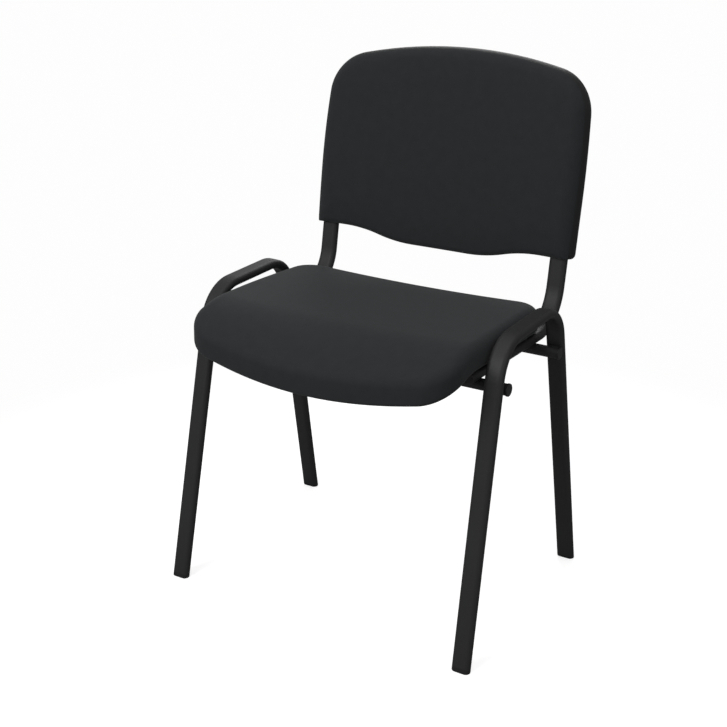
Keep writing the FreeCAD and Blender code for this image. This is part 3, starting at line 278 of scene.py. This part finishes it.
# Upholstery: charcoal plain-weave cloth, glued to the foam and drawn tight round the edges.
# The cloth is unfolded outwards from the cushion's face, so that its threads run on over the
# rolled edges, and its UV map is in metres.
def cushion_cloth():
    dark = (0.0205, 0.0232, 0.0248)
    pale = (0.0275, 0.0302, 0.0322)
    thread = 0.0011
    material, shader = principled("charcoal_cloth", 0.88, Specular_IOR_Level=0.25, Sheen_Weight=0.10,
                                  Sheen_Roughness=0.45)
    place = add_node(material, "ShaderNodeTexCoord").outputs["UV"]
    mottled(material, shader, place, 55.0, dark, pale, detail=8.0)
    parts = add_node(material, "ShaderNodeSeparateXYZ", Vector=place).outputs
    turns = math.pi / thread
    warp = calculate(material, "SINE", calculate(material, "MULTIPLY", parts["X"], turns))
    weft = calculate(material, "SINE", calculate(material, "MULTIPLY", parts["Y"], turns))
    weave = calculate(material, "MULTIPLY", warp, weft)
    fuzz = add_node(material, "ShaderNodeTexNoise", Vector=place, Scale=1400.0, Detail=3.0).outputs["Fac"]
    slub = add_node(material, "ShaderNodeTexNoise", Vector=place, Scale=130.0, Detail=4.0).outputs["Fac"]
    fibres = calculate(material, "ADD", calculate(material, "MULTIPLY", fuzz, 0.8), slub)
    height = calculate(material, "ADD", calculate(material, "MULTIPLY", weave, 0.5), fibres)
    bumped(material, shader, height, 0.35, 0.0004)
    return material


cloth = cushion_cloth()


def rounded_outline(corners, count):
    """Points and outward normals, evenly spaced on a closed path of lines and arcs.

    Each corner is (x, y, radius). Its arc starts and ends at the radius over the tangent of half
    the corner's angle from the corner, and its centre lies inside on the half-angle line.
    """
    spots = np.array([corner[:2] for corner in corners])
    steps = np.linspace(0, 1, 60)[:, None]
    runs = []
    for index, (*_, radius) in enumerate(corners):
        here = spots[index]
        to_last = spots[index - 1] - here
        to_next = spots[(index + 1) % len(spots)] - here
        to_last /= np.linalg.norm(to_last)
        to_next /= np.linalg.norm(to_next)
        half = math.acos(np.clip(to_last @ to_next, -1, 1)) / 2
        middle = (to_last + to_next) / np.linalg.norm(to_last + to_next)
        centre = here + middle * radius / math.sin(half)
        first = here + to_last * radius / math.tan(half) - centre
        last = here + to_next * radius / math.tan(half) - centre
        sweep = math.pi - 2 * half
        arc = (np.sin((1 - steps) * sweep) * first + np.sin(steps * sweep) * last) / math.sin(sweep)
        runs.append(centre + arc)
    path = np.concatenate(runs)
    path = np.concatenate([path, path[:1]])
    reach = np.concatenate([[0], np.cumsum(np.linalg.norm(np.diff(path, axis=0), axis=1))])
    at = np.linspace(0, reach[-1], count, endpoint=False)
    points = np.column_stack([np.interp(at, reach, path[:, 0]), np.interp(at, reach, path[:, 1])])
    along = np.roll(points, -1, axis=0) - np.roll(points, 1, axis=0)
    normals = np.column_stack([along[:, 1], -along[:, 0]])
    normals /= np.linalg.norm(normals, axis=1)[:, None]
    return points, normals


def edge_fall(points, edge, normals, slopes, radius):
    """How far a rolled edge lies below the surface that it rounds off.

    The roll is a circle that touches the wall and the surface. With the distance d from the wall
    and the surface's slope a down to the wall, it lies d tan a - r tan a + r / cos a less
    the root of r squared less the square of r - d below the surface, until it touches it.
    """
    gaps = ((points[:, None, :] - edge[None, :, :]) ** 2).sum(2)
    near = gaps.argmin(1)
    inside = np.clip(((edge[near] - points) * normals[near]).sum(1), 0, None)
    slope = slopes[near]
    reach = np.clip(inside, 0, radius * (1 - np.sin(slope)))
    circle = np.sqrt(np.clip(radius ** 2 - (radius - reach) ** 2, 0, None))
    return (reach - radius) * np.tan(slope) + radius / np.cos(slope) - circle


def placed(points, origin, tilt):
    """Points turned about X by the tilt and moved to the origin."""
    turn = np.array([[1, 0, 0], [0, math.cos(tilt), -math.sin(tilt)], [0, math.sin(tilt), math.cos(tilt)]])
    return points @ turn.T + np.array(origin)


# Seat pad: foam and cloth over the seat board, dished across, crowned along and falling in a
# waterfall at the front. The sides are rolled over, and the cloth is drawn round under the
# board and stapled, with a hem that leaves the board bare in the middle.
SEAT_ORIGIN = (0.0, 0.0, 0.4283)
SEAT_TILT = math.radians(-2.29)


def seat_pad():
    half_front, half_wide, half_rear = 0.2330, 0.2355, 0.2310
    front_y, wide_y, rear_y = -0.2550, -0.0600, 0.1124
    front_bow, rear_bow, side_bow = 1.323, 4.200, 1.800
    front_sweep, rear_sweep = math.radians(7.8), math.radians(2.5)
    front_corner, rear_corner = 0.057, 0.051
    underside = -0.00085
    thickness = 0.041
    dish = 2.3
    crown, crown_y = 6.25, -0.017
    fall_start, fall_radius = -0.136, 0.166
    fill, droop = 0.0042, 0.0060
    top_roll, low_roll = 0.019, 0.0085
    hem, cloth_thickness = 0.030, 0.0012
    board_inset, board_room = 0.0102, 0.0124
    bulge_start, bulge_reach, bulge_side_loss = -0.165, 0.06, 0.7
    arc_surplus, surplus_share = 0.57, 0.06
    middle = np.array([0.0, -0.065])
    count = 360

    front_apex = front_y - front_bow * (1 / math.cos(front_sweep) - 1)
    rear_apex = rear_y + rear_bow * (1 / math.cos(rear_sweep) - 1)
    front_side = front_apex + half_front * math.tan(front_sweep)
    rear_side = rear_apex - half_rear * math.tan(rear_sweep)
    right = [(half_front, front_side, front_corner), (half_wide, wide_y, side_bow),
             (half_rear, rear_side, rear_corner)]
    left = [(-x, y, radius) for x, y, radius in reversed(right)]
    corners = [(0.0, front_apex, front_bow)] + right + [(0.0, rear_apex, rear_bow)] + left
    edge, normals = rounded_outline(corners, count)

    def dished(points, height):
        """Height above the underside, carried sideways round the dish's axis."""
        return underside + dish - np.sqrt((dish - height) ** 2 - points[..., 0] ** 2)

    def band(points, height):
        """Surface a height above the underside that bends down with the board."""
        drop = np.minimum(points[..., 1] - fall_start, 0)
        return dished(points, np.sqrt((fall_radius + height) ** 2 - drop ** 2) - fall_radius)

    def top(points):
        """Top of the pad: the waterfall's circle in front and the crown's circle behind it."""
        lean = math.asin((crown_y - fall_start) / (crown - fall_radius))
        join = fall_start - fall_radius * math.sin(lean)
        centre = thickness - fall_radius - (crown - fall_radius) * math.cos(lean)
        y = points[..., 1]
        crowned = centre + np.sqrt(crown ** 2 - (y - crown_y) ** 2)
        drop = np.minimum(y - fall_start, 0)
        fallen = thickness - fall_radius + np.sqrt(fall_radius ** 2 - drop ** 2)
        puffed = fill * (1 - (points[..., 0] / half_wide) ** 2)
        return dished(points, np.where(y < join, fallen, crowned)) + puffed

    def slopes(surface):
        step = 0.002
        return np.arctan((surface(edge - normals * step) - surface(edge)) / step)

    def rolled_top(points):
        return top(points) - edge_fall(points, edge, normals, slopes(top), top_roll)

    def rolled_low(points, inset=0.0):
        """Underside with its edge rolled; in front the foam bulges down past the board's edge."""
        low_slopes = -slopes(lambda spots: band(spots, 0.0))
        ahead = np.clip((bulge_start - edge[:, 1]) / bulge_reach, 0, 1)
        across = 1 - bulge_side_loss * (edge[:, 0] / half_wide) ** 2
        bulge = droop * ahead ** 2 * (3 - 2 * ahead) * across
        return (band(points, 0.0) + edge_fall(points, edge, normals, low_slopes, low_roll)
                - bulge * (1 - inset / hem) ** 2)

    rings = []
    uv = []

    def add(points, heights, wrapped):
        """Ring of the surface, and its place on the cloth, which has wrapped that far past the edge."""
        rings.append(np.column_stack([points, heights]))
        uv.append(points + normals * np.asarray(wrapped).reshape(-1, 1))

    for share in 1 - np.linspace(0.985, 0, 54) ** 2:
        ring = middle + share * (edge - middle)
        near_edge = max(0.0, 1 - (1 - share) / surplus_share)
        add(ring, rolled_top(ring), np.full(count, top_roll * arc_surplus * near_edge))
    upper, lower = rolled_top(edge), rolled_low(edge)
    wrapped = top_roll * arc_surplus
    for share in (0.25, 0.5, 0.75, 1.0):
        add(edge, upper + (lower - upper) * share, wrapped + (upper - lower) * share)
    wrapped = wrapped + (upper - lower)
    for inset in hem * np.linspace(0, 1, 20)[1:] ** 2:
        ring = edge - normals * inset
        add(ring, rolled_low(ring, inset), wrapped + 2 * inset)
    inside = edge - normals * hem
    add(inside, band(inside, cloth_thickness), wrapped + 2 * hem)
    room = edge - normals * board_inset
    add(room, band(room, cloth_thickness), wrapped + 3 * hem)
    for share in (1.0, 0.66, 0.33, 0.05):
        ring = middle + share * (room - middle)
        add(ring, band(ring, board_room), wrapped + 4 * hem)
    surface = placed(np.array(rings), SEAT_ORIGIN, SEAT_TILT)
    pad = mesh_piece("seat_pad", [ring_surface(surface, np.array(uv))], cloth)
    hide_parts("seat_cover", "seat_foam")

    # Staples, two fingers apart, hold the hem to the board, except where the rails cross it
    staple_half, staple_radius, staple_inset, staple_step = 0.005, 0.0005, 0.021, 8
    rail_x, rail_reach, rail_front, rail_rear = 0.2179, 0.016, -0.13, 0.07
    staples = []
    for index in range(0, count, staple_step):
        here = edge[index] - normals[index] * staple_inset
        along = np.array([-normals[index][1], normals[index][0]]) * staple_half
        if abs(abs(here[0]) - rail_x) < rail_reach and rail_front < here[1] < rail_rear:
            continue
        wire = np.array([here - along, here + along])
        bulge = rolled_low(edge, staple_inset)[index] - rolled_low(edge, hem)[index]
        wire = np.column_stack([wire, band(wire, 0.0) + bulge - staple_radius * 0.6])
        staples.append(bead(*placed(wire, SEAT_ORIGIN, SEAT_TILT), staple_radius, 0.0, 1))
    mesh_piece("seat_staples", staples, zinc)


seat_pad()


# Backrest: a foam pad under the same cloth in front, curved round the sitter, and a moulded
# plastic shell behind it. The cloth ends in the joint between the two, which runs round the
# edge a little way behind the face. The shell has a fine spark-eroded grain.
BACK_ORIGIN = (0.0, 0.1723, 0.5201)
BACK_TILT = math.radians(-10.3)

shell_plastic = moulded_plastic("shell_plastic", (0.011, 0.011, 0.0115), (0.0145, 0.0145, 0.015),
                                1100.0, 0.0004, 0.55)
dress(["back_shell"], shell_plastic)


def back_pad():
    half_low, half_mid, half_top = 0.2431, 0.2436, 0.2360
    side_height, mid_height, shoulder_height, apex_height = 0.0104, 0.170, 0.2952, 0.3501
    dip_height, dip_half, dip_start, dip_bow = -0.0075, 0.0861, 0.1526, 0.255
    side_bow, shoulder, top_bow = 2.0, 0.076, 0.796
    corner = 0.0015
    face, crown_rise, crown, crown_height = -0.005, 0.0035, 3.2, 0.150
    wrap = 1.841
    side_roll, low_roll = 0.022, 0.009
    plump, plump_reach = 0.0042, 0.055
    cloth_rim, cloth_joint, cloth_inside, cloth_middle = 0.010, 0.012, 0.030, 0.040
    surplus_share = 0.08
    parting = 0.0034
    board_inset, board_thickness = 0.0137, 0.0063
    middle = np.array([0.0, 0.155])
    count = 420

    right = [(dip_half, dip_height, dip_bow), (dip_start, side_height, dip_bow),
             (half_low, side_height, corner), (half_mid, mid_height, side_bow),
             (half_top, shoulder_height, shoulder)]
    left = [(-x, height, radius) for x, height, radius in reversed(right)]
    edge, normals = rounded_outline(right + [(0.0, apex_height, top_bow)] + left, count)
    fine_edge, fine_normals = rounded_outline(right + [(0.0, apex_height, top_bow)] + left, 4 * count)
    below = (fine_edge[:, 1] < side_height + 0.0004) & (fine_normals[:, 1] < -0.7)

    def wrapped(points, depth):
        """A depth to the rear of the uprights, carried sideways round the wrap's axis."""
        return np.sqrt((wrap + depth) ** 2 - points[..., 0] ** 2) - wrap

    def front(points):
        """Height of the face towards the sitter."""
        rise = np.sqrt(crown ** 2 - (points[..., 1] - crown_height) ** 2) - crown + crown_rise
        return -wrapped(points, face - rise)

    step = 0.002
    slopes = np.arctan((front(fine_edge - fine_normals * step) - front(fine_edge)) / step)

    def from_edge(points):
        return np.sqrt(((points[:, None, :] - fine_edge[None, :, :]) ** 2).sum(2).min(1))

    def rolled(points):
        """Plump face with its edges rolled: a wide roll at the sides and top, a tighter one below."""
        side = edge_fall(points, fine_edge[~below], fine_normals[~below], slopes[~below], side_roll)
        low = edge_fall(points, fine_edge[below], fine_normals[below], slopes[below], low_roll)
        flat = np.clip(1 - from_edge(points) / plump_reach, 0, 1)
        return front(points) + plump * (1 - flat ** 2) - np.maximum(side, low)

    # The pad ends where its roll meets the joint with the shell: halve the span that holds it
    inner = np.full(count, 0.8)
    outer = np.ones(count)
    for _ in range(22):
        share = (inner + outer) / 2
        spots = middle + share[:, None] * (edge - middle)
        past = -rolled(spots) > wrapped(spots, parting)
        outer = np.where(past, share, outer)
        inner = np.where(past, inner, share)
    rim = middle + inner[:, None] * (edge - middle)

    rings = []
    uv = []

    def add(points, depths, extra):
        rings.append(np.column_stack([points[:, 0], depths, points[:, 1]]))
        uv.append(points + normals * extra)

    for share in 1 - np.linspace(0.985, 0, 60) ** 2:
        ring = middle + share * (rim - middle)
        add(ring, -rolled(ring), cloth_rim * max(0.0, 1 - (1 - share) / surplus_share))
    add(rim, wrapped(rim, parting), cloth_joint)
    # The board's hollow: the outline set in, with the loops that this makes at sharp corners cut off
    room = edge - normals * board_inset
    kept = np.flatnonzero(from_edge(room) > 0.985 * board_inset)
    room = np.column_stack([np.interp(np.arange(count), kept, room[kept, axis], period=count)
                            for axis in (0, 1)])
    add(room, wrapped(room, parting), cloth_inside)
    for share in (1.0, 0.5, 0.05):
        ring = middle + share * (room - middle)
        add(ring, wrapped(ring, parting - board_thickness), cloth_middle)
    surface = placed(np.array(rings), BACK_ORIGIN, BACK_TILT)
    pad = mesh_piece("back_pad", [ring_surface(surface, np.array(uv))], cloth)
    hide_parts("back_cover", "back_foam")


back_pad()


# Studio: a wide white floor that keeps the chair's shadow, soft lamps in front and above, weaker
# ones on the right and behind, and the camera where the photographer stood.
def studio_floor():
    radius, rounds, spokes = 14.0, 24, 96
    reach = np.linspace(0, 1, rounds + 1)[1:] ** 2 * radius
    turn = np.linspace(0, 2 * math.pi, spokes, endpoint=False)
    rings = np.stack([np.outer(reach, np.cos(turn)), np.outer(reach, np.sin(turn)),
                      np.zeros((rounds, spokes))], axis=-1)
    places = np.concatenate([rings.reshape(-1, 3), [[0, 0, 0]]])
    index = np.arange(rounds * spokes).reshape(rounds, spokes)
    ahead = np.roll(index, -1, axis=1)
    quads = np.stack([index[:-1], index[1:], ahead[1:], ahead[:-1]], axis=-1).reshape(-1, 4)
    fan = np.stack([np.full(spokes, rounds * spokes), index[0], ahead[0]], axis=-1)
    mesh = bpy.data.meshes.new("studio_floor")
    mesh.from_pydata(places.tolist(), [], quads.tolist() + fan.tolist())
    floor = bpy.data.objects.new("studio_floor", mesh)
    bpy.context.scene.collection.objects.link(floor)
    material = bpy.data.materials.new("white_floor")
    material.use_nodes = True
    tree = material.node_tree
    tree.nodes.remove(tree.nodes["Principled BSDF"])
    output = tree.nodes["Material Output"]
    pale = add_node(material, "ShaderNodeBsdfDiffuse", Color=(0.8, 0.8, 0.8, 1))
    lift = add_node(material, "ShaderNodeEmission", Color=(1, 1, 1, 1), Strength=0.66)
    near = add_node(material, "ShaderNodeAddShader")
    tree.links.new(pale.outputs[0], near.inputs[0])
    tree.links.new(lift.outputs[0], near.inputs[1])
    white = add_node(material, "ShaderNodeEmission", Color=(1, 1, 1, 1), Strength=0.985)
    distance = add_node(material, "ShaderNodeVectorMath", {"operation": "LENGTH"})
    tree.links.new(object_place(material), distance.inputs[0])
    fade = add_node(material, "ShaderNodeMapRange", {"interpolation_type": "SMOOTHSTEP"},
                    Value=distance.outputs["Value"], From_Min=0.45, From_Max=1.1)
    seen = add_node(material, "ShaderNodeMixShader", Fac=fade.outputs["Result"])
    tree.links.new(near.outputs[0], seen.inputs[1])
    tree.links.new(white.outputs[0], seen.inputs[2])
    path = add_node(material, "ShaderNodeLightPath")
    direct = path.outputs["Is Camera Ray"]
    choice = add_node(material, "ShaderNodeMixShader", Fac=direct)
    bounce = add_node(material, "ShaderNodeBsdfDiffuse", Color=(0.3, 0.3, 0.3, 1))
    tree.links.new(bounce.outputs[0], choice.inputs[1])
    tree.links.new(seen.outputs[0], choice.inputs[2])
    # Seen from below the floor is clear, so that the underside can be looked at
    clear = add_node(material, "ShaderNodeBsdfTransparent")
    facing = add_node(material, "ShaderNodeNewGeometry").outputs["Backfacing"]
    both = add_node(material, "ShaderNodeMixShader", Fac=facing)
    tree.links.new(choice.outputs[0], both.inputs[1])
    tree.links.new(clear.outputs[0], both.inputs[2])
    tree.links.new(both.outputs[0], output.inputs["Surface"])
    mesh.materials.append(material)


def studio_world():
    world = bpy.data.worlds.new("white_studio")
    world.use_nodes = True
    bpy.context.scene.world = world
    tree = world.node_tree
    ambient = tree.nodes["Background"]
    ambient.inputs["Color"].default_value = (1, 1, 1, 1)
    ambient.inputs["Strength"].default_value = 0.26
    white = add_node(world, "ShaderNodeBackground", Color=(1, 1, 1, 1), Strength=0.985)
    path = add_node(world, "ShaderNodeLightPath")
    choice = add_node(world, "ShaderNodeMixShader", Fac=path.outputs["Is Camera Ray"])
    tree.links.new(ambient.outputs[0], choice.inputs[1])
    tree.links.new(white.outputs[0], choice.inputs[2])
    tree.links.new(choice.outputs[0], tree.nodes["World Output"].inputs["Surface"])


def soft_lamp(name, place, aim, size, power):
    lamp = bpy.data.lights.new(name, "AREA")
    lamp.shape = "SQUARE"
    lamp.size = size
    lamp.energy = power
    lamp_object = bpy.data.objects.new(name, lamp)
    bpy.context.scene.collection.objects.link(lamp_object)
    lamp_object.location = place
    direction = np.array(aim) - np.array(place)
    yaw = math.atan2(direction[1], direction[0]) - math.pi / 2
    pitch = math.acos(-direction[2] / np.linalg.norm(direction))
    lamp_object.rotation_euler = (pitch, 0, yaw)


def studio_camera():
    camera = bpy.data.cameras.new("camera")
    camera.sensor_width = 36.0
    camera.lens = 63.365
    camera_object = bpy.data.objects.new("camera", camera)
    camera_object.location = (0.9770, -1.6882, 1.1254)
    camera_object.rotation_euler = (math.radians(68.61), 0, math.radians(31.21))
    bpy.context.scene.collection.objects.link(camera_object)
    bpy.context.scene.camera = camera_object


studio_floor()
studio_world()
soft_lamp("key_lamp", (-0.8, -2.3, 2.05), (0, 0, 0.45), 1.4, 33)
soft_lamp("top_lamp", (-0.2, -0.1, 2.9), (0, 0, 0.45), 2.2, 13)
soft_lamp("fill_lamp", (1.9, -1.3, 1.3), (0, 0, 0.4), 1.2, 6)
soft_lamp("rear_lamp", (-0.9, 2.3, 1.8), (0, 0, 0.6), 1.4, 20)
studio_camera()
bpy.context.scene.view_settings.view_transform = "Standard"
